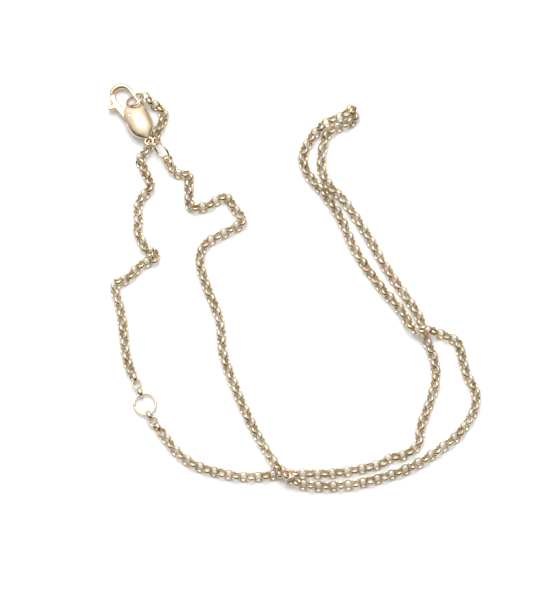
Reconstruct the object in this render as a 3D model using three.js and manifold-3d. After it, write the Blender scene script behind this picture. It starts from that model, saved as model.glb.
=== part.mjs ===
import * as THREE from "three";
import { mergeVertices } from "three/addons/utils/BufferGeometryUtils.js";
import Module from "manifold-3d";

// Chain anklet, fastened and lying slack on a surface: z = 0 is that surface, +Y the far side.
// All sizes in mm.

// The layout grid: one step across and one step away, and the grid point above the origin.
const stepAcross = 0.1286;
const stepAway = 0.1306;
const gridMiddle = [293.2, 284.9];

// Chain
const linkWire = 0.2; // through the link's band, from inside to outside
const linkWide = 0.32; // and across it
const linkMean = 1.15; // diameter of a link along the middle of its wire
const linkFuse = 0.03; // how far neighbouring links press into each other
const linkLean = 45; // degrees, alternate links lean to either side
const chainWidth = 1.17;
const chainCrossingGap = 0.14;
const linkSides = 10;
const wireSides = 5;
const tubeSides = 8;

// Rings
const largeRingMean = 2.76; // the middle ring and the ring before the clasp
const endRingMean = 2.34;
const claspRingMean = 1.5;
const middleRingWire = 0.28;
const ringWire = 0.3;
const ringSides = 16;
const ringWireSides = 6;

// Clasp: x runs from the tail eye to the hook, y to the left of it, z out of its flat side.
const claspLength = 8.9; // middle of the tail eye to the top of the hook
const claspWidth = 3.34;
const claspThick = 1.7;
const claspPitch = 7; // degrees, hook end down
const tailEyeMean = 1;
const tailEyeWire = 0.26;
const bandWide = 0.56; // the hook's band, across the clasp
const bandThick = 0.86; // and through it
const eyeWide = 2.2;
const leverThick = 0.5;
const leverGap = 0.06;
const pinDiameter = 0.4;
const pinGap = 0.03;
const sweepSides = 14;

// Colours
const gold = { color: 0xdcbf8c, roughness: 0.22, metalness: 1 };

// Levels: 0 lies on the surface, 1 passes over another strand.
// The main chain, from the middle ring to the ring before the clasp.
const mainRoute = [
  [150, 414.9, 0], [154, 421.8, 0], [164, 434.5, 0], [179, 452.5, 0],
  [198, 465, 0], [224, 472.7, 0], [252, 475.8, 0], [282, 473, 0],
  [307, 472.5, 0], [335, 471.8, 0], [364, 467, 0], [382, 462, 0],
  [390, 456.5, 0], [399, 455.5, 0], [411, 449.5, 0], [418, 440.5, 0],
  [419.5, 428, 0], [428, 404, 0], [435, 380, 0], [433, 357, 0],
  [424.5, 337, 0], [419.5, 318, 0], [402, 291, 0], [384, 264, 0],
  [365, 231, 0], [343, 199, 0], [331, 187, 0], [322.5, 171, 0],
  [322, 154, 0], [328, 133.5, 0], [341, 125.5, 0], [353, 122, 0],
  [357.4, 113.5, 0], [352, 105.8, 0], [343, 112.3, 0], [325, 123, 0],
  [311, 138, 0], [302.8, 157, 0], [308, 173.5, 0], [325, 194, 0],
  [338, 213, 0], [357, 253, 0], [379, 285, 0], [401.5, 311.5, 0],
  [412, 328.5, 0.5], [422.8, 332.3, 1], [432, 331.8, 0.5], [443, 335, 0],
  [457, 342.5, 0], [461.3, 356, 0], [466, 374, 0], [475, 393, 0],
  [472.5, 411, 0], [457, 434, 0], [440, 447.5, 0], [411, 465.5, 0],
  [380, 477, 0], [346, 484, 0], [315, 484.8, 0], [300, 482.8, 0],
  [291.5, 479.5, 0.5], [284, 473.2, 1], [277, 465.5, 0.5], [265, 447.5, 0],
  [249, 418, 0], [234, 384, 0], [223, 353, 0], [219.5, 320, 0],
  [206, 285, 0], [199.6, 259, 0], [205, 244.5, 0], [225, 232.5, 0],
  [242.6, 221, 0], [236, 210.5, 0], [224.5, 196.8, 0], [206, 206, 0],
  [191, 206.5, 0], [188.3, 190, 0], [187.6, 174.5, 0], [176.5, 173, 0],
  [170.5, 167, 0.18], [167.3, 160.2, 0.44],
];

// The extension chain, from the ring on the hook to the middle ring.
const extensionRoute = [
  [147.1, 99.8, 0.4], [151.8, 101.6, 0.18], [156.9, 104.2, 0], [162.2, 108.4, 0],
  [163.6, 115, 0], [161.5, 122, 0], [158.5, 129, 0], [155.5, 137, 0],
  [152, 144, 0], [147.5, 150, 0], [142, 155, 0], [139.3, 160.5, 0],
  [142.5, 166, 0], [145, 173, 0], [148.5, 180, 0], [149.7, 186.5, 0],
  [145, 193, 0], [139.5, 200, 0], [137.3, 210, 0], [138, 222, 0],
  [137.3, 232, 0], [141, 240, 0], [146, 249.5, 0], [154, 253.3, 0],
  [155, 258.8, 0], [147, 262.3, 0], [139, 266.3, 0], [131, 275, 0],
  [123, 280.3, 0], [116.5, 282.5, 0], [114.8, 289.5, 0], [118, 300.5, 0],
  [121.5, 315, 0], [124, 334, 0], [125.5, 350, 0], [129.5, 366, 0],
  [136, 382, 0], [140.8, 393, 0],
];

// How each ring lies: its place on the layout, its height in chain widths, its turns in degrees.
const ringPlaces = {
  middle_ring: { at: [145.5, 403.57], height: 0.5085, turns: [-0.5, 0.2, 27.8] },
  end_ring: { at: [136.3, 99.3], height: 0.968, turns: [-48, -3, -2] },
  clasp_ring: { at: [153.9, 142.8], height: 1.572, turns: [-48, -8.5, -3.6] },
  chain_ring: { at: [161.2, 150.6], height: 1.474, turns: [-11, 80, 20] },
};
const claspPlace = { at: [148.6, 142], height: 1.445, turns: [0, claspPitch, 116.8] };

// Shares of the clasp's length and of half its width.
const eyeStart = [0.575, 0];
const pivot = [0.4674, 0.467];

// Sections of the clasp's body: shares of its length, of half its width, of half its thickness.
const bodySections = [
  [0.05, 0.17, 0.2], [0.085, 0.42, 0.4], [0.145, 0.79, 0.7], [0.225, 0.95, 0.92],
  [0.33, 1, 1], [0.45, 0.985, 0.86], [0.54, 0.985, 0.69], [0.59, 0.95, 0.6],
  [0.613, 0.86, 0.5],
];

// The middle of the hook's band: shares of the clasp's length and of half its width.
const bandRoute = [
  [0.5, -0.78], [0.58, -0.82], [0.66, -0.83], [0.74, -0.81], [0.82, -0.75],
  [0.88, -0.64], [0.925, -0.47], [0.957, -0.25], [0.97, 0], [0.966, 0.24],
  [0.948, 0.47], [0.92, 0.66], [0.885, 0.8],
];

// The lever's outline in the same shares, from the tip of its gate round the thumb nib.
const leverOutline = [
  [0.871, 0.6], [0.852, 0.88], [0.79, 0.95], [0.742, 1.01], [0.739, 1.26],
  [0.748, 1.48], [0.732, 1.57], [0.702, 1.48], [0.674, 1.22], [0.628, 1.02],
  [0.55, 0.94], [0.46, 0.77], [0.425, 0.5], [0.44, 0.24], [0.48, 0.13],
  [0.53, 0.25], [0.6, 0.52], [0.66, 0.68], [0.74, 0.75], [0.83, 0.68],
];

const wasm = await Module();
wasm.setup();

const radians = THREE.MathUtils.degToRad;

function solidOf(geometry) {
  const plain = geometry.clone();
  plain.deleteAttribute("normal");
  plain.deleteAttribute("uv");
  const merged = mergeVertices(plain, 1e-5);
  return new wasm.Manifold(
    new wasm.Mesh({
      numProp: 3,
      vertProperties: merged.attributes.position.array,
      triVerts: new Uint32Array(merged.index.array),
    }),
  );
}

function geometryOf(solid) {
  const { numProp, vertProperties, triVerts } = solid.getMesh();
  const position = new Float32Array((vertProperties.length / numProp) * 3);
  for (let i = 0; i < position.length / 3; i += 1) {
    position.set(vertProperties.subarray(i * numProp, i * numProp + 3), i * 3);
  }
  const geometry = new THREE.BufferGeometry();
  geometry.setAttribute("position", new THREE.BufferAttribute(position, 3));
  geometry.setIndex(new THREE.BufferAttribute(new Uint32Array(triVerts), 1));
  geometry.computeVertexNormals();
  return geometry;
}

function goldMesh(name, geometry) {
  const mesh = new THREE.Mesh(geometry, new THREE.MeshStandardMaterial(gold));
  mesh.name = name;
  return mesh;
}

function onLayout([across, down], height) {
  return new THREE.Vector3(
    (across - gridMiddle[0]) * stepAcross,
    (gridMiddle[1] - down) * stepAway,
    height,
  );
}

function routeCurve(route) {
  const lift = chainWidth + chainCrossingGap;
  const points = route.map((p) => onLayout(p, chainWidth / 2 + p[2] * lift));
  return new THREE.CatmullRomCurve3(points, false, "centripetal");
}

// A curve whose even steps fall on its chosen points, which lie closer in the tight bends.
class SteppedCurve extends THREE.CatmullRomCurve3 {
  getUtoTmapping(share) {
    return share;
  }
}

function ringGeometry(mean, wire, sides, sidesOfWire) {
  return new THREE.TorusGeometry(mean / 2, wire / 2, sidesOfWire, sides);
}

// Where one link lies: x along the chain, y the way it leans.
function linkMatrix(curve, share, leanDegrees) {
  const along = curve.getTangentAt(share);
  const side = new THREE.Vector3(0, 0, 1).cross(along).normalize();
  const up = along.clone().cross(side);
  const lean = side
    .multiplyScalar(Math.cos(radians(leanDegrees)))
    .addScaledVector(up, Math.sin(radians(leanDegrees)));
  return new THREE.Matrix4()
    .makeBasis(along, lean, along.clone().cross(lean))
    .setPosition(curve.getPointAt(share));
}

function wirePoints(matrix) {
  const points = [];
  for (let i = 0; i < 2 * linkSides; i += 1) {
    const angle = (i * Math.PI) / linkSides;
    const flat = i % 2 ? Math.cos(Math.PI / linkSides) : 1;
    const reach = (linkMean / 2) * flat;
    points.push(
      new THREE.Vector3(Math.cos(angle) * reach, Math.sin(angle) * reach, 0)
        .applyMatrix4(matrix),
    );
  }
  return points;
}

function wireDistance(matrixA, matrixB) {
  const pointsB = wirePoints(matrixB);
  let least = Infinity;
  for (const a of wirePoints(matrixA)) {
    for (const b of pointsB) {
      least = Math.min(least, a.distanceTo(b));
    }
  }
  return least;
}

// Each link is moved on from the last one until their wires meet.
function linkMatrices(curve) {
  const length = curve.getLength();
  const flatWire = (linkWire / 2) * equalArea(wireSides) * Math.cos(Math.PI / wireSides);
  const meeting = 2 * flatWire - linkFuse;
  const matrices = [linkMatrix(curve, 0, linkLean)];
  let at = 0;
  let lean = -linkLean;
  while (true) {
    let near = at + linkMean * 0.55;
    let far = at + linkMean;
    for (let i = 0; i < 24; i += 1) {
      const middle = (near + far) / 2;
      const share = Math.min(middle / length, 1);
      const gap = wireDistance(matrices.at(-1), linkMatrix(curve, share, lean));
      if (gap > meeting) {
        near = middle;
      } else {
        far = middle;
      }
    }
    at = near;
    if (at > length) {
      break;
    }
    matrices.push(linkMatrix(curve, at / length, lean));
    lean = -lean;
  }
  return matrices;
}

// A polygon's corners reach this much further than the circle of its area.
function equalArea(sides) {
  const turn = (2 * Math.PI) / sides;
  return Math.sqrt(turn / Math.sin(turn));
}

function linkSolid(matrix) {
  const wire = linkWire * equalArea(wireSides);
  const geometry = ringGeometry(linkMean, wire, linkSides, wireSides);
  geometry.scale(1, 1, linkWide / linkWire);
  return solidOf(geometry.applyMatrix4(matrix));
}

function extensionChain() {
  const links = linkMatrices(routeCurve(extensionRoute)).map(linkSolid);
  return geometryOf(links.reduce((chain, link) => chain.add(link)));
}

// The main chain as a cord of the chain's width, with a real link at each end for its ring.
function mainChain() {
  const curve = routeCurve(mainRoute);
  const length = curve.getLength();
  const inset = (linkMean * 0.42) / length;
  const points = curve.points.slice(1, -1);
  points.unshift(curve.getPointAt(inset));
  points.push(curve.getPointAt(1 - inset));
  const section = new THREE.Shape(
    Array.from({ length: tubeSides }, (_, i) => {
      const angle = ((i + 0.5) * 2 * Math.PI) / tubeSides;
      const reach = chainWidth / 2;
      return new THREE.Vector2(Math.cos(angle) * reach, Math.sin(angle) * reach);
    }),
  );
  const cord = new THREE.ExtrudeGeometry(section, {
    extrudePath: new SteppedCurve(points, false, "centripetal"),
    steps: points.length - 1,
  });
  return geometryOf(
    solidOf(cord)
      .add(linkSolid(linkMatrix(curve, 0, linkLean)))
      .add(linkSolid(linkMatrix(curve, 1, 0))),
  );
}

function lay(object, { at, height, turns }) {
  object.position.copy(onLayout(at, height * chainWidth));
  object.rotation.set(...turns.map(radians), "ZYX");
  return object;
}

function lyingRing(name, mean, wire) {
  const geometry = ringGeometry(mean, wire, ringSides, ringWireSides);
  return lay(goldMesh(name, geometry), ringPlaces[name]);
}

// A body through stations [x, y, half width, half thickness], each across the way to the next.
function sweep(stations, squareness) {
  const position = [];
  const index = [];
  stations.forEach(([x, y, wide, thick], i) => {
    const before = stations[Math.max(i - 1, 0)];
    const after = stations[Math.min(i + 1, stations.length - 1)];
    const way = new THREE.Vector2(after[0] - before[0], after[1] - before[1]).normalize();
    for (let j = 0; j < sweepSides; j += 1) {
      const angle = (j * 2 * Math.PI) / sweepSides;
      const out = Math.sign(Math.cos(angle)) * Math.abs(Math.cos(angle)) ** squareness * wide;
      const up = Math.sign(Math.sin(angle)) * Math.abs(Math.sin(angle)) ** squareness * thick;
      position.push(x - way.y * out, y + way.x * out, up);
    }
  });
  for (let i = 0; i < stations.length - 1; i += 1) {
    for (let j = 0; j < sweepSides; j += 1) {
      const a = i * sweepSides + j;
      const b = i * sweepSides + ((j + 1) % sweepSides);
      index.push(a, b, a + sweepSides, b, b + sweepSides, a + sweepSides);
    }
  }
  const last = (stations.length - 1) * sweepSides;
  for (let j = 1; j < sweepSides - 1; j += 1) {
    index.push(0, j + 1, j, last, last + j, last + j + 1);
  }
  const geometry = new THREE.BufferGeometry();
  geometry.setAttribute("position", new THREE.Float32BufferAttribute(position, 3));
  geometry.setIndex(index);
  return geometry;
}

function onClasp([alongShare, acrossShare]) {
  return new THREE.Vector2(alongShare * claspLength, (acrossShare * claspWidth) / 2);
}

function plate(outline, thick) {
  const geometry = new THREE.ExtrudeGeometry(new THREE.Shape(outline), {
    depth: thick,
    bevelEnabled: false,
    curveSegments: 6,
  });
  return geometry.translate(0, 0, -thick / 2);
}

function pivotRod(diameter, length) {
  const { x, y } = onClasp(pivot);
  return new THREE.CylinderGeometry(diameter / 2, diameter / 2, length, 12)
    .rotateX(Math.PI / 2)
    .translate(x, y, 0);
}

// The rounded opening of the hook, deeper than the clasp is thick.
function eyeCutter() {
  const outline = [];
  const round = eyeWide / 2;
  const middle = onClasp(eyeStart).x + round;
  for (let i = 0; i <= 12; i += 1) {
    const angle = Math.PI / 2 + (i * Math.PI) / 12;
    outline.push(
      new THREE.Vector2(middle + Math.cos(angle) * round, Math.sin(angle) * round),
    );
  }
  outline.push(new THREE.Vector2(claspLength, -round), new THREE.Vector2(claspLength, round));
  return solidOf(plate(outline, claspThick * 2));
}

// Room for the lever to lie in and to swing inwards.
function slotCutter() {
  const corners = [[0.4, 1.6], [0.4, 0.45], [0.45, 0.05], [0.52, -0.1], [0.7, -0.1], [0.7, 1.6]];
  return solidOf(plate(corners.map(onClasp), leverThick + 2 * leverGap));
}

function claspBody() {
  const body = bodySections.map(([along, wide, thick]) => [
    along * claspLength,
    0,
    (wide * claspWidth) / 2,
    (thick * claspThick) / 2,
  ]);
  const band = bandRoute.map((share, i) => {
    const slimmer = 1 - (0.22 * i) / (bandRoute.length - 1);
    const { x, y } = onClasp(share);
    return [x, y, (bandWide / 2) * slimmer, (bandThick / 2) * slimmer];
  });
  const tailEye = ringGeometry(tailEyeMean, tailEyeWire, ringSides, ringWireSides);
  return geometryOf(
    solidOf(sweep(body, 1))
      .subtract(eyeCutter())
      .add(solidOf(sweep(band, 0.7)))
      .subtract(slotCutter())
      .subtract(solidOf(pivotRod(pinDiameter + 2 * pinGap, claspThick * 2)))
      .add(solidOf(tailEye)),
  );
}

function claspLever() {
  const bore = solidOf(pivotRod(pinDiameter + 2 * pinGap, claspThick));
  const lever = solidOf(plate(leverOutline.map(onClasp), leverThick));
  return geometryOf(lever.subtract(bore));
}

function clasp() {
  const group = new THREE.Group();
  group.name = "clasp";
  group.add(
    goldMesh("clasp_body", claspBody()),
    goldMesh("clasp_lever", claspLever()),
    goldMesh("clasp_pin", pivotRod(pinDiameter, claspThick * 0.72)),
  );
  return lay(group, claspPlace);
}

const anklet = new THREE.Group();
anklet.name = "chain_anklet";
anklet.add(
  goldMesh("main_chain", mainChain()),
  goldMesh("extension_chain", extensionChain()),
  lyingRing("middle_ring", largeRingMean, middleRingWire),
  lyingRing("end_ring", endRingMean, ringWire),
  lyingRing("clasp_ring", claspRingMean, ringWire),
  lyingRing("chain_ring", largeRingMean, ringWire),
  clasp(),
);

export default anklet;
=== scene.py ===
import math
import random

import bmesh
import bpy
import numpy as np
from mathutils import Euler, Matrix, Vector


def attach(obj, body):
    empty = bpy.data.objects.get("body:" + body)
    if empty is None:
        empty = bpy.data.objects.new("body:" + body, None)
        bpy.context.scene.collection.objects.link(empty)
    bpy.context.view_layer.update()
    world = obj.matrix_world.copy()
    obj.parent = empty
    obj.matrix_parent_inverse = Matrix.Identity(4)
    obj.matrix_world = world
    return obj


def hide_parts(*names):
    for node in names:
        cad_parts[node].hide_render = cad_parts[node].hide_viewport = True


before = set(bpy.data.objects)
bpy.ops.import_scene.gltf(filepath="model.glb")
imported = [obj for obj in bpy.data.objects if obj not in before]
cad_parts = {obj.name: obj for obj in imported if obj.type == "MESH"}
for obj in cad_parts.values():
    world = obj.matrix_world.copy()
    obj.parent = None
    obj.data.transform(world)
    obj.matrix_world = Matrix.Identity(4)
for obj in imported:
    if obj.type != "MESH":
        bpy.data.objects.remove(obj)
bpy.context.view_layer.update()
print("stage: frame loaded")

# Everything is modelled in millimetres and brought to metres when a piece is finished.
toMetres = Matrix.Scale(0.001, 4)
layout = {"stepAcross": 0.1286, "stepAway": 0.1306, "middle": (293.2, 284.9)}


def onLayout(at, height):
    across = (at[0] - layout["middle"][0]) * layout["stepAcross"]
    away = (layout["middle"][1] - at[1]) * layout["stepAway"]
    return Vector((across, away, height))


def placeMatrix(place):
    turns = Euler([math.radians(a) for a in place["turns"]], "XYZ")
    move = Matrix.Translation(onLayout(place["at"], place["height"] * chain["width"]))
    return move @ turns.to_matrix().to_4x4()


# small helpers for meshes

def deselectAll():
    bpy.ops.object.select_all(action="DESELECT")


def makeActive(obj):
    deselectAll()
    obj.select_set(True)
    bpy.context.view_layer.objects.active = obj


def applyModifier(obj, kind, **settings):
    makeActive(obj)
    modifier = obj.modifiers.new(kind.title(), kind)
    for name, value in settings.items():
        setattr(modifier, name, value)
    bpy.ops.object.modifier_apply(modifier=modifier.name)


def joinAll(objects, name):
    makeActive(objects[0])
    for obj in objects:
        obj.select_set(True)
    bpy.ops.object.join()
    joined = bpy.context.view_layer.objects.active
    joined.name = name
    return joined


def cut(obj, cutter):
    applyModifier(obj, "BOOLEAN", operation="DIFFERENCE", object=cutter, solver="EXACT")
    bpy.data.objects.remove(cutter)


def copyOf(obj, matrix):
    twin = obj.copy()
    twin.data = obj.data.copy()
    twin.data.transform(matrix)
    bpy.context.collection.objects.link(twin)
    return twin


def finishPiece(obj, name, matrix, material, body, *nodes):
    obj.data.transform(toMetres @ matrix)
    obj.name = name
    obj.data.name = name
    obj.data.materials.clear()
    obj.data.materials.append(material)
    makeActive(obj)
    bpy.ops.object.shade_smooth()
    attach(obj, body)
    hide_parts(*nodes)
    print("stage:", name, len(obj.data.polygons), "faces")
    return obj


# shader sums, and the gold of each kind of piece

class Wire:
    # a socket that can be used in sums
    def __init__(self, maker, socket):
        self.maker = maker
        self.socket = socket

    def sum(self, operation, first, second):
        made = self.maker.node("ShaderNodeMath", {"operation": operation}, {0: first, 1: second})
        return Wire(self.maker, made.outputs[0])

    def __add__(self, other):
        return self.sum("ADD", self, other)

    def __radd__(self, other):
        return self.sum("ADD", other, self)

    def __sub__(self, other):
        return self.sum("SUBTRACT", self, other)

    def __rsub__(self, other):
        return self.sum("SUBTRACT", other, self)

    def __mul__(self, other):
        return self.sum("MULTIPLY", self, other)

    def __rmul__(self, other):
        return self.sum("MULTIPLY", other, self)


class Maker:
    def __init__(self, name):
        self.material = bpy.data.materials.new(name)
        self.material.use_nodes = True
        self.tree = self.material.node_tree
        self.shader = self.tree.nodes["Principled BSDF"]

    def node(self, kind, settings, inputs):
        made = self.tree.nodes.new(kind)
        for name, value in settings.items():
            if name == "stops":
                ramp = made.color_ramp
                while len(ramp.elements) < len(value):
                    ramp.elements.new(0.5)
                for element, (place, colour) in zip(ramp.elements, value):
                    element.position = place
                    element.color = colour
            else:
                setattr(made, name, value)
        for name, value in inputs.items():
            if isinstance(value, Wire):
                self.tree.links.new(value.socket, made.inputs[name])
            elif value is not None:
                made.inputs[name].default_value = value
        return made

    def wire(self, kind, settings, inputs, output=0):
        return Wire(self, self.node(kind, settings, inputs).outputs[output])

    def place(self):
        return self.wire("ShaderNodeTexCoord", {}, {}, "Object")

    def noise(self, scale, detail, stretch=(1, 1, 1)):
        mapped = self.wire("ShaderNodeMapping", {}, {"Vector": self.place(), "Scale": stretch})
        return self.wire("ShaderNodeTexNoise", {}, {"Vector": mapped, "Scale": scale, "Detail": detail})

    def mixColour(self, factor, first, second):
        made = self.node("ShaderNodeMix", {"data_type": "RGBA"}, {0: factor})
        for place, value in ((6, first), (7, second)):
            if isinstance(value, Wire):
                self.tree.links.new(value.socket, made.inputs[place])
            else:
                made.inputs[place].default_value = value
        return Wire(self, made.outputs[2])

    def into(self, socket, value):
        self.tree.links.new(value.socket, self.shader.inputs[socket])


goldLook = {
    "pale": (0.85, 0.75, 0.56, 1),
    "deep": (0.64, 0.52, 0.325, 1),
    "rosy": (0.77, 0.55, 0.39, 1),
    "dull": (0.32, 0.25, 0.145, 1),
}


def goldMaterial(name, roughness, spread, bumpDepth, dullShare, warm):
    m = Maker(name)
    shader = m.shader
    shader.inputs["Metallic"].default_value = 1
    patches = m.noise(350, 2)
    tone = m.wire("ShaderNodeMapRange", {}, {"Value": patches, "From Min": 0.38, "From Max": 0.62})
    colour = m.mixColour(tone, goldLook["pale"], goldLook["deep"])
    blush = m.wire("ShaderNodeMapRange", {}, {"Value": m.noise(140, 1), "From Min": 0.5, "From Max": 0.7})
    colour = m.mixColour(warm + blush * 0.5, colour, goldLook["rosy"])
    grime = m.wire("ShaderNodeMapRange", {}, {"Value": m.noise(2600, 3), "From Min": 0.52, "From Max": 0.72})
    colour = m.mixColour(grime * dullShare, colour, goldLook["dull"])
    m.into("Base Color", colour)
    m.into("Roughness", roughness + spread * m.noise(1800, 3) + 0.12 * grime)
    scratches = m.noise(5200, 2, (1, 0.12, 0.6))
    bump = m.wire("ShaderNodeBump", {}, {"Strength": 0.35, "Distance": bumpDepth,
                                         "Height": m.noise(900, 2) + 0.35 * scratches})
    m.into("Normal", bump)
    return m.material


chainGold = goldMaterial("chainGold", 0.12, 0.14, 0.00003, 0.65, 0.05)
ringGold = goldMaterial("ringGold", 0.15, 0.12, 0.00002, 0.5, 0.3)
claspGold = goldMaterial("claspGold", 0.24, 0.1, 0.00002, 0.25, 0.4)
print("stage: materials")

# the chain: round links of wide wire, leaning to one side and the other in turn

chain = {
    "wire": 0.2,         # through a link's band, from inside to outside
    "wide": 0.63,        # and across it
    "mean": 1.16,        # diameter of a link along the middle of its band
    "width": 1.17,
    "crossingGap": 0.14,
    "linkSides": 14,
    "wireSides": 6,
    "lean": 45,
    "twist": 6,          # slow roll of the chain along its way
    "jitter": 5,
    "nod": 5,
    "slack": 0.02,
    "endTurns": 4,       # a chain's ends turn to suit their rings over this length
    "touch": 0.204,      # distance between the middles of two wires that meet
}

mainRoute = [
    (150, 414.9, 0), (154, 421.8, 0), (164, 434.5, 0), (179, 452.5, 0),
    (198, 465, 0), (224, 472.7, 0), (252, 475.8, 0), (282, 473, 0),
    (307, 472.5, 0), (335, 471.8, 0), (364, 467, 0), (382, 462, 0),
    (390, 456.5, 0), (399, 455.5, 0), (411, 449.5, 0), (418, 440.5, 0),
    (419.5, 428, 0), (428, 404, 0), (435, 380, 0), (433, 357, 0),
    (424.5, 337, 0), (419.5, 318, 0), (402, 291, 0), (384, 264, 0),
    (365, 231, 0), (343, 199, 0), (331, 187, 0), (322.5, 171, 0),
    (322, 154, 0), (327.5, 134, 0), (341, 124.8, 0), (350.5, 121.8, 0),
    (355.4, 115, 0), (352, 108.3, 0.2), (344, 115.3, 0.5), (326.5, 122.4, 0.45),
    (311, 138, 0), (302.8, 157, 0), (308, 173.5, 0), (325, 194, 0),
    (338, 213, 0), (357, 253, 0), (379, 285, 0), (401.5, 311.5, 0),
    (412, 328.5, 0.5), (422.8, 332.3, 1), (432, 331.8, 0.5), (443, 335, 0),
    (457, 342.5, 0), (461.3, 356, 0), (466, 374, 0), (475, 393, 0),
    (472.5, 411, 0), (457, 434, 0), (440, 447.5, 0), (411, 465.5, 0),
    (380, 477, 0), (346, 484, 0), (315, 484.8, 0), (300, 482.8, 0),
    (291.5, 479.5, 0.5), (284, 473.2, 1), (277, 465.5, 0.5), (265, 447.5, 0),
    (249, 418, 0), (234, 384, 0), (223, 353, 0), (219.5, 320, 0),
    (206, 285, 0), (199.6, 259, 0), (205, 244.5, 0), (225, 232.5, 0),
    (242.6, 221, 0), (236, 210.5, 0), (224.5, 196.8, 0), (206, 206, 0),
    (191, 206.5, 0), (188.3, 190, 0), (187.6, 174.5, 0), (176.5, 173, 0),
    (170.5, 167, 0.18), (167.3, 160.2, 0.44),
]
extensionRoute = [
    (144, 96.6, 0.69), (150.5, 101.3, 0.35), (156.3, 105.2, 0), (161.3, 109, 0),
    (163.3, 115.3, 0), (161.3, 122, 0), (157.4, 128.8, 0), (152.8, 136.2, 0),
    (149.6, 143.2, 0), (146, 149.4, 0), (142, 155, 0), (139.3, 160.5, 0),
    (142.5, 166, 0), (145, 173, 0), (148.5, 180, 0), (149.7, 186.5, 0),
    (145, 193, 0), (139.5, 200, 0), (137.3, 210, 0), (138, 222, 0),
    (137.3, 232, 0), (141, 240, 0), (146, 249.5, 0), (154, 253.3, 0),
    (155, 258.8, 0), (147, 262.3, 0), (139, 266.3, 0), (131, 275, 0),
    (123, 280.3, 0), (116.5, 282.5, 0), (114.8, 289.5, 0), (118, 300.5, 0),
    (121.5, 315, 0), (124, 334, 0), (125.5, 350, 0), (129.5, 366, 0),
    (136, 382, 0), (140.8, 393, 0),
]
extensionEnd = 0.116     # the last link of the extension stops this far before the route's end


class RouteCurve:
    # smooth curve through the chosen points, its place read by the length along it
    def __init__(self, route):
        lift = chain["width"] + chain["crossingGap"]
        points = [np.array(onLayout(p, chain["width"] / 2 + p[2] * lift)) for p in route]
        points = [2 * points[0] - points[1], *points, 2 * points[-1] - points[-2]]
        samples = []
        for a, b, c, d in zip(points, points[1:], points[2:], points[3:]):
            samples.extend(self.stretch(a, b, c, d, step / 20) for step in range(20))
        samples.append(points[-2])
        self.samples = np.array(samples)
        steps = np.linalg.norm(np.diff(self.samples, axis=0), axis=1)
        self.reach = np.concatenate([[0], np.cumsum(steps)])
        self.length = self.reach[-1]

    @staticmethod
    def stretch(a, b, c, d, t):
        gapA, gapB, gapC = (np.linalg.norm(q - p) ** 0.5 for p, q in ((a, b), (b, c), (c, d)))
        startWay = ((b - a) / gapA - (c - a) / (gapA + gapB) + (c - b) / gapB) * gapB
        endWay = ((c - b) / gapB - (d - b) / (gapB + gapC) + (d - c) / gapC) * gapB
        square = -3 * b + 3 * c - 2 * startWay - endWay
        cube = 2 * b - 2 * c + startWay + endWay
        return b + startWay * t + square * t * t + cube * t ** 3

    def point(self, at):
        return np.array([np.interp(at, self.reach, self.samples[:, i]) for i in range(3)])

    def way(self, at):
        step = 0.12
        way = self.point(min(at + step, self.length)) - self.point(max(at - step, 0))
        return Vector(way).normalized()


def linkMatrix(curve, at, lean, nod):
    along = curve.way(at)
    side = Vector((0, 0, 1)).cross(along).normalized()
    up = along.cross(side)
    leaning = side * math.cos(math.radians(lean)) + up * math.sin(math.radians(lean))
    axes = Matrix((along, leaning, along.cross(leaning))).transposed().to_4x4()
    tilt = Matrix.Rotation(math.radians(nod), 4, "Y")
    matrix = Matrix.Translation(Vector(curve.point(at))) @ axes @ tilt
    # kept on or above the surface
    normal = (matrix.to_3x3() @ Vector((0, 0, 1))).normalized()
    steep = math.sqrt(max(0, 1 - normal.z ** 2))
    drop = (chain["mean"] * steep + math.hypot(chain["wire"] * steep, chain["wide"] * normal.z)) / 2
    matrix.translation.z = max(matrix.translation.z, drop + 0.004)
    return matrix


turnsRound = np.linspace(0, 2 * math.pi, 28, endpoint=False)
circle = np.stack([np.cos(turnsRound), np.sin(turnsRound), 0 * turnsRound], axis=1) * chain["mean"] / 2


def wireLine(matrix):
    turn = np.array(matrix.to_3x3())
    return circle @ turn.T + np.array(matrix.translation)


def wireDistance(a, b):
    return np.sqrt(((wireLine(a)[:, None] - wireLine(b)[None]) ** 2).sum(-1)).min()


def chainMatrices(route, seed, startTurn, endTurn, endInset=0):
    curve = RouteCurve(route)
    chance = random.Random(seed)
    phase = chance.uniform(0, 6)

    def poseAt(at, sign, wobble, nod):
        fade = min(1, at / 3, max(0, curve.length - at) / 3)
        twist = math.sin(at * 0.37 + phase) + 0.6 * math.sin(at * 0.83 + 2 * phase)
        twist = (twist * chain["twist"] + wobble * chain["jitter"]) * fade
        twist += startTurn * max(0, 1 - at / chain["endTurns"])
        twist += endTurn * max(0, 1 - (curve.length - at) / chain["endTurns"])
        return linkMatrix(curve, min(at, curve.length), sign * chain["lean"] + twist, nod * fade)

    places = [0.0]
    wobbles = [(0.0, 0.0)]
    sign = 1
    while places[-1] < curve.length - endInset:
        here = poseAt(places[-1], sign, *wobbles[-1])
        wobble = (chance.uniform(-1, 1), chance.uniform(-1, 1) * chain["nod"])
        # the next link is drawn along until its wire meets this one's
        pitch = chain["mean"] * 0.4
        while pitch < chain["mean"]:
            if wireDistance(here, poseAt(places[-1] + pitch, -sign, *wobble)) < chain["touch"]:
                break
            pitch += 0.015
        pitch *= 1 - chance.uniform(0, 1) * chain["slack"]
        places.append(places[-1] + pitch)
        wobbles.append(wobble)
        sign = -sign
    # the spare length is shared out so that the last link ends where its ring is
    shrink = (curve.length - endInset) / places[-1]
    signs = [(-1) ** i for i in range(len(places))]
    return [poseAt(at * shrink, s, *w) for at, s, w in zip(places, signs, wobbles)]


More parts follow.
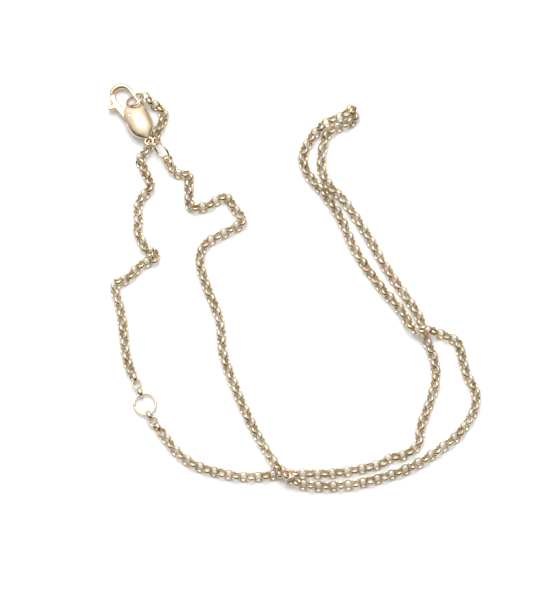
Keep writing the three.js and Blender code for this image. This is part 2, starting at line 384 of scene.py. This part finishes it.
def makeLink():
    deselectAll()
    bpy.ops.mesh.primitive_torus_add(
        major_segments=chain["linkSides"], minor_segments=chain["wireSides"],
        major_radius=chain["mean"] / 2, minor_radius=chain["wire"] / 2,
    )
    bpy.ops.object.mode_set(mode="EDIT")
    bpy.ops.transform.resize(value=(1, 1, chain["wide"] / chain["wire"]), center_override=(0, 0, 0))
    bpy.ops.object.mode_set(mode="OBJECT")
    return bpy.context.active_object


def makeChain(name, matrices, node):
    link = makeLink()
    links = [copyOf(link, matrix) for matrix in matrices]
    bpy.data.objects.remove(link)
    joined = joinAll(links, name)
    return finishPiece(joined, name, Matrix.Identity(4), chainGold, "anklet", node)


mainMatrices = chainMatrices(mainRoute, 11, 56, -12)
extensionMatrices = chainMatrices(extensionRoute, 5, -20, 45, extensionEnd)
makeChain("mainChainLinks", mainMatrices, "main_chain")
makeChain("extensionChainLinks", extensionMatrices, "extension_chain")
print("stage: links", len(mainMatrices), len(extensionMatrices))

# jump rings of round wire, each with the fine seam where it was closed

rings = {
    "sides": 72,
    "wireSides": 14,
    "seam": 0.03,
}
ringPlaces = {
    "middleRing": {"node": "middle_ring", "mean": 2.74, "wire": 0.3, "at": (145.5, 403.57),
                   "height": 0.5085, "turns": (-0.5, 0.2, 27.8), "seamAt": 160},
    "endRing": {"node": "end_ring", "mean": 2.34, "wire": 0.3, "at": (134.02, 99.41),
                "height": 0.994, "turns": (-46.7, -21.5, 18), "seamAt": 80},
    "claspRing": {"node": "clasp_ring", "mean": 1.5, "wire": 0.3, "at": (153.9, 142.8),
                  "height": 1.572, "turns": (-48, -8.5, -3.6), "seamAt": 100},
    "chainRing": {"node": "chain_ring", "mean": 2.76, "wire": 0.3, "at": (161.32, 152.33),
                  "height": 1.725, "turns": (-15.5, 109.1, 24.1), "seamAt": 60},
}


def makeRing(name, place):
    deselectAll()
    bpy.ops.mesh.primitive_torus_add(
        major_segments=rings["sides"], minor_segments=rings["wireSides"],
        major_radius=place["mean"] / 2, minor_radius=place["wire"] / 2,
    )
    ring = bpy.context.active_object
    turn = Matrix.Rotation(math.radians(place["seamAt"]), 4, "Z")
    # one slice of the wire is taken out and its two ends are closed and drawn together
    bpy.ops.object.mode_set(mode="EDIT")
    bpy.ops.mesh.select_all(action="DESELECT")
    mesh = bmesh.from_edit_mesh(ring.data)
    step = 2 * math.pi / rings["sides"]
    for face in mesh.faces:
        middle = face.calc_center_median()
        face.select = 0 < math.atan2(middle.y, middle.x) < step
    bmesh.update_edit_mesh(ring.data)
    bpy.ops.mesh.delete(type="FACE")
    bpy.ops.mesh.select_mode(type="EDGE")
    bpy.ops.mesh.select_non_manifold()
    mesh = bmesh.from_edit_mesh(ring.data)
    half = rings["seam"] / place["mean"]
    for vertex in mesh.verts:
        if vertex.select:
            angle = math.atan2(vertex.co.y, vertex.co.x)
            wanted = step / 2 + (half if angle > step / 2 else -half)
            vertex.co.rotate(Matrix.Rotation(wanted - angle, 3, "Z"))
    bmesh.update_edit_mesh(ring.data)
    bpy.ops.mesh.edge_face_add()
    bpy.ops.object.mode_set(mode="OBJECT")
    finishPiece(ring, name, placeMatrix(place) @ turn, ringGold, "anklet", place["node"])


for ringName, ringPlace in ringPlaces.items():
    makeRing(ringName, ringPlace)

# the clasp: cast body with hook and tail eye, sprung lever, riveted pin

clasp = {
    "length": 8.9,
    "width": 3.34,
    "thick": 1.7,
    "tailEyeMean": 1.0,
    "tailEyeWire": 0.26,
    "bandWide": 0.6,
    "bandThick": 0.88,
    "eyeWide": 2.2,
    "eyeStart": 0.575,
    "pivot": (0.4674, 0.467),
    "leverThick": 0.5,
    "leverGap": 0.06,
    "leverFront": 1.5,   # the lever's front is this much thicker
    "leverSwell": 0.07,
    "slotEnd": 0.625,
    "pinDiameter": 0.4,
    "pinGap": 0.03,
    "pinLength": 0.72,   # share of the clasp's thickness
    "grain": 0.036,      # size of the remeshed body's faces
}
claspPlace = {"at": (148.6, 142), "height": 1.445, "turns": (0, 7, 116.8)}
bodySections = [
    (0.05, 0.17, 0.2), (0.085, 0.42, 0.4), (0.145, 0.79, 0.7), (0.225, 0.95, 0.92),
    (0.33, 1, 1), (0.45, 0.985, 0.85), (0.54, 0.985, 0.65), (0.59, 0.95, 0.53),
    (0.613, 0.86, 0.43),
]
# place along the clasp, across it, and thickness of the hook's band there
bandRoute = [
    (0.5, -0.72, 0.9), (0.58, -0.7, 0.8), (0.66, -0.64, 0.78), (0.74, -0.57, 0.8),
    (0.82, -0.51, 0.9), (0.875, -0.42, 1.05), (0.915, -0.27, 1.2), (0.94, -0.06, 1.3),
    (0.953, 0.18, 1.3), (0.949, 0.42, 1.2), (0.936, 0.65, 1.05), (0.914, 0.83, 0.9),
    (0.886, 0.93, 0.78),
]
leverOutline = [
    (0.857, 0.78), (0.845, 1.06), (0.8, 1.12), (0.73, 1.13), (0.719, 1.3),
    (0.719, 1.5), (0.707, 1.59), (0.694, 1.5), (0.684, 1.3), (0.67, 1.12),
    (0.6, 1), (0.53, 0.91), (0.46, 0.77), (0.425, 0.5), (0.44, 0.24), (0.48, 0.13),
    (0.53, 0.25), (0.6, 0.52), (0.66, 0.72), (0.74, 0.85), (0.82, 0.84),
]


def onClasp(share):
    return Vector((share[0] * clasp["length"], share[1] * clasp["width"] / 2, 0))


def makeBelly():
    # a round section pushed along the clasp and widened or narrowed at each step
    wanted = np.array(bodySections)
    shares = np.linspace(wanted[0, 0], wanted[-1, 0], 34)
    wide = np.interp(shares, wanted[:, 0], wanted[:, 1]) * clasp["width"] / 2
    thick = np.interp(shares, wanted[:, 0], wanted[:, 2]) * clasp["thick"] / 2
    for _ in range(2):
        wide[1:-1] = (wide[:-2] + 2 * wide[1:-1] + wide[2:]) / 4
        thick[1:-1] = (thick[:-2] + 2 * thick[1:-1] + thick[2:]) / 4
    deselectAll()
    bpy.ops.mesh.primitive_circle_add(
        vertices=32, radius=1, fill_type="NGON", location=(shares[0] * clasp["length"], 0, 0),
        rotation=(0, -math.pi / 2, 0),
    )
    belly = bpy.context.active_object
    bpy.ops.object.transform_apply(location=True, rotation=True)
    bpy.ops.object.mode_set(mode="EDIT")
    bpy.ops.transform.resize(
        value=(1, wide[0], thick[0]), center_override=(shares[0] * clasp["length"], 0, 0)
    )
    for i in range(1, len(shares)):
        x = shares[i] * clasp["length"]
        step = x - shares[i - 1] * clasp["length"]
        bpy.ops.mesh.extrude_region_move(TRANSFORM_OT_translate={"value": (step, 0, 0)})
        bpy.ops.transform.resize(
            value=(1, wide[i] / wide[i - 1], thick[i] / thick[i - 1]), center_override=(x, 0, 0)
        )
    bpy.ops.mesh.select_all(action="SELECT")
    bpy.ops.mesh.normals_make_consistent(inside=False)
    bpy.ops.object.mode_set(mode="OBJECT")
    return belly


def curvePiece(name, splines, cyclic, extrude, bevel, radii=None):
    # a closed outline makes a rounded plate, an open one a rounded band
    data = bpy.data.curves.new(name, "CURVE")
    data.dimensions = "2D" if cyclic else "3D"
    data.fill_mode = "BOTH" if cyclic else "FULL"
    data.twist_mode = "Z_UP"
    data.use_fill_caps = not cyclic
    data.resolution_u = 8
    data.extrude = extrude
    data.bevel_depth = bevel
    data.bevel_resolution = 5
    for points in splines:
        spline = data.splines.new("BEZIER")
        spline.bezier_points.add(len(points) - 1)
        spline.use_cyclic_u = cyclic
        for i, (point, place) in enumerate(zip(spline.bezier_points, points)):
            point.co = place
            point.handle_left_type = "AUTO"
            point.handle_right_type = "AUTO"
            point.radius = radii[i] if radii else 1
    piece = bpy.data.objects.new(name, data)
    bpy.context.collection.objects.link(piece)
    makeActive(piece)
    bpy.ops.object.convert(target="MESH")
    piece = bpy.context.active_object
    bpy.ops.object.mode_set(mode="EDIT")
    bpy.ops.mesh.select_all(action="SELECT")
    bpy.ops.mesh.remove_doubles(threshold=0.0005)
    bpy.ops.mesh.select_all(action="DESELECT")
    bpy.ops.mesh.select_non_manifold()
    bpy.ops.mesh.fill_holes(sides=0)
    bpy.ops.mesh.select_all(action="SELECT")
    bpy.ops.mesh.normals_make_consistent(inside=False)
    bpy.ops.object.mode_set(mode="OBJECT")
    return piece


def makeBand():
    shares = [p[2] for p in bandRoute]
    bevel = clasp["bandWide"] / 2
    rise = clasp["bandThick"] / 2 - bevel
    return curvePiece("band", [[onClasp(p) for p in bandRoute]], False, rise, bevel, shares)


def makeEyeCutter():
    # the rounded opening of the hook
    radius = clasp["eyeWide"] / 2
    middle = clasp["eyeStart"] * clasp["length"] + radius
    deselectAll()
    bpy.ops.mesh.primitive_cylinder_add(
        vertices=64, radius=radius, depth=4, location=(middle, 0, 0)
    )
    cutter = bpy.context.active_object
    bpy.ops.object.transform_apply(location=True)
    for vertex in cutter.data.vertices:
        if vertex.co.x > middle:
            vertex.co.x += 3
    return cutter


def makeRod(diameter, length, sides=32):
    deselectAll()
    bpy.ops.mesh.primitive_cylinder_add(
        vertices=sides, radius=diameter / 2, depth=length, location=onClasp(clasp["pivot"])
    )
    rod = bpy.context.active_object
    bpy.ops.object.transform_apply(location=True)
    return rod


def makeSlotCutter():
    # the room in which the lever lies and swings
    corners = [(0.4, 1.6), (0.4, 0.45), (0.45, 0.05), (0.52, -0.1), (0.7, -0.1), (0.7, 1.6)]
    high = clasp["leverThick"] / 2 + clasp["leverGap"]
    deselectAll()
    bpy.ops.mesh.primitive_circle_add(vertices=len(corners), radius=1, fill_type="NGON")
    cutter = bpy.context.active_object
    for vertex, corner in zip(cutter.data.vertices, corners):
        vertex.co = onClasp(corner) + Vector((0, 0, -high))
    bpy.ops.object.mode_set(mode="EDIT")
    bpy.ops.mesh.select_all(action="SELECT")
    bpy.ops.mesh.extrude_region_move(TRANSFORM_OT_translate={"value": (0, 0, 2 * high)})
    bpy.ops.mesh.select_all(action="SELECT")
    bpy.ops.mesh.normals_make_consistent(inside=False)
    bpy.ops.object.mode_set(mode="OBJECT")
    return cutter


def makeTailEye():
    deselectAll()
    bpy.ops.mesh.primitive_torus_add(
        major_segments=48, minor_segments=16,
        major_radius=clasp["tailEyeMean"] / 2, minor_radius=clasp["tailEyeWire"] / 2,
    )
    return bpy.context.active_object


def makeClaspBody():
    belly = makeBelly()
    cut(belly, makeEyeCutter())
    applyModifier(belly, "REMESH", mode="VOXEL", voxel_size=clasp["grain"])
    applyModifier(belly, "SMOOTH", factor=0.5, iterations=40)
    body = joinAll([belly, makeBand(), makeTailEye()], "claspBody")
    applyModifier(body, "REMESH", mode="VOXEL", voxel_size=clasp["grain"])
    applyModifier(body, "SMOOTH", factor=0.5, iterations=10)
    cut(body, makeSlotCutter())
    cut(body, makeRod(clasp["pinDiameter"] + 2 * clasp["pinGap"], 4))
    return body


def makeLever():
    outline = [onClasp(p) for p in leverOutline]
    edge = 0.16
    lever = curvePiece("lever", [outline], True, clasp["leverThick"] / 2 - edge, edge)
    # outside its slot the lever thickens until it is nearly flush with the hook
    for vertex in lever.data.vertices:
        share = (vertex.co.x / clasp["length"] - clasp["slotEnd"]) / clasp["leverSwell"]
        share = min(max(share, 0), 1)
        vertex.co.z *= 1 + (clasp["leverFront"] - 1) * share * share * (3 - 2 * share)
    cut(lever, makeRod(clasp["pinDiameter"] + 2 * clasp["pinGap"], 4))
    return lever


def makePin():
    pin = makeRod(clasp["pinDiameter"], clasp["pinLength"] * clasp["thick"])
    applyModifier(pin, "BEVEL", width=0.06, segments=4, limit_method="ANGLE")
    return pin


claspMatrix = placeMatrix(claspPlace)
finishPiece(makeClaspBody(), "claspBody", claspMatrix, claspGold, "anklet", "clasp_body")
finishPiece(makeLever(), "claspLever", claspMatrix, claspGold, "lever", "clasp_lever")
finishPiece(makePin(), "claspPin", claspMatrix, ringGold, "anklet", "clasp_pin")

# floor, light and camera

studio = {
    "floorSize": 3.0,
    "floorColour": (0.95, 0.95, 0.96, 1),
    "keyPower": 3.2,
    "keySize": 0.45,
    "keyAt": (-0.05, 0.3, 0.65),
    "skyBright": 1.16,
    "skyDark": 0.025,
    "skyPatches": 0.7,
    "distance": 0.6,
    "elevation": 80,
    "frameWidth": 539 * 0.0001286,
    "aim": (-0.00305, -0.00197, 0.0005),
}

deselectAll()
bpy.ops.mesh.primitive_plane_add(size=studio["floorSize"])
floor = bpy.context.active_object
floor.name = "floor"
paper = Maker("paper")
paperTone = paper.mixColour(paper.noise(8, 2), studio["floorColour"], (0.96, 0.96, 0.96, 1))
paper.into("Base Color", paperTone)
paper.shader.inputs["Roughness"].default_value = 0.85
floor.data.materials.append(paper.material)

keyData = bpy.data.lights.new("key", "AREA")
keyData.energy = studio["keyPower"]
keyData.shape = "DISK"
keyData.size = studio["keySize"]
key = bpy.data.objects.new("key", keyData)
key.location = studio["keyAt"]
key.rotation_euler = (-key.location).to_track_quat("-Z", "Y").to_euler()
bpy.context.collection.objects.link(key)

# the room: bright above and on the far left, darker low down on the near side
world = bpy.data.worlds.new("room")
bpy.context.scene.world = world
world.use_nodes = True
roomTree = world.node_tree
background = roomTree.nodes["Background"]
roomWay = roomTree.nodes.new("ShaderNodeTexCoord")
dot = roomTree.nodes.new("ShaderNodeVectorMath")
dot.operation = "DOT_PRODUCT"
dot.inputs[1].default_value = Vector((-0.05, 0.5, 0.86)).normalized()
roomTree.links.new(roomWay.outputs["Generated"], dot.inputs[0])
ramp = roomTree.nodes.new("ShaderNodeValToRGB")
ramp.color_ramp.elements[0].position = 0.34
ramp.color_ramp.elements[0].color = (studio["skyDark"], studio["skyDark"] * 0.9, studio["skyDark"] * 0.8, 1)
ramp.color_ramp.elements[1].position = 0.62
ramp.color_ramp.elements[1].color = (studio["skyBright"],) * 3 + (1,)
# darker and lighter patches round the room, as furniture and windows give
clouds = roomTree.nodes.new("ShaderNodeTexNoise")
clouds.inputs["Scale"].default_value = 2.6
clouds.inputs["Detail"].default_value = 1
roomTree.links.new(roomWay.outputs["Generated"], clouds.inputs["Vector"])
patches = roomTree.nodes.new("ShaderNodeMapRange")
patches.inputs["To Min"].default_value = -studio["skyPatches"]
patches.inputs["To Max"].default_value = studio["skyPatches"]
roomTree.links.new(clouds.outputs["Fac"], patches.inputs["Value"])
light = roomTree.nodes.new("ShaderNodeMath")
roomTree.links.new(dot.outputs["Value"], light.inputs[0])
roomTree.links.new(patches.outputs["Result"], light.inputs[1])
roomTree.links.new(light.outputs["Value"], ramp.inputs["Fac"])
roomTree.links.new(ramp.outputs["Color"], background.inputs["Color"])
background.inputs["Strength"].default_value = 1.0

bpy.context.scene.view_settings.view_transform = "Standard"

cameraData = bpy.data.cameras.new("camera")
cameraData.sensor_fit = "HORIZONTAL"
cameraData.sensor_width = 36
cameraData.lens = 36 * studio["distance"] / studio["frameWidth"]
cameraData.clip_start = 0.01
cameraData.clip_end = 20
camera = bpy.data.objects.new("camera", cameraData)
rise = math.radians(studio["elevation"])
away = Vector((0, -math.cos(rise), math.sin(rise))) * studio["distance"]
camera.location = Vector(studio["aim"]) + away
camera.rotation_euler = (-away).to_track_quat("-Z", "Y").to_euler()
bpy.context.collection.objects.link(camera)
bpy.context.scene.camera = camera
print("stage: studio")
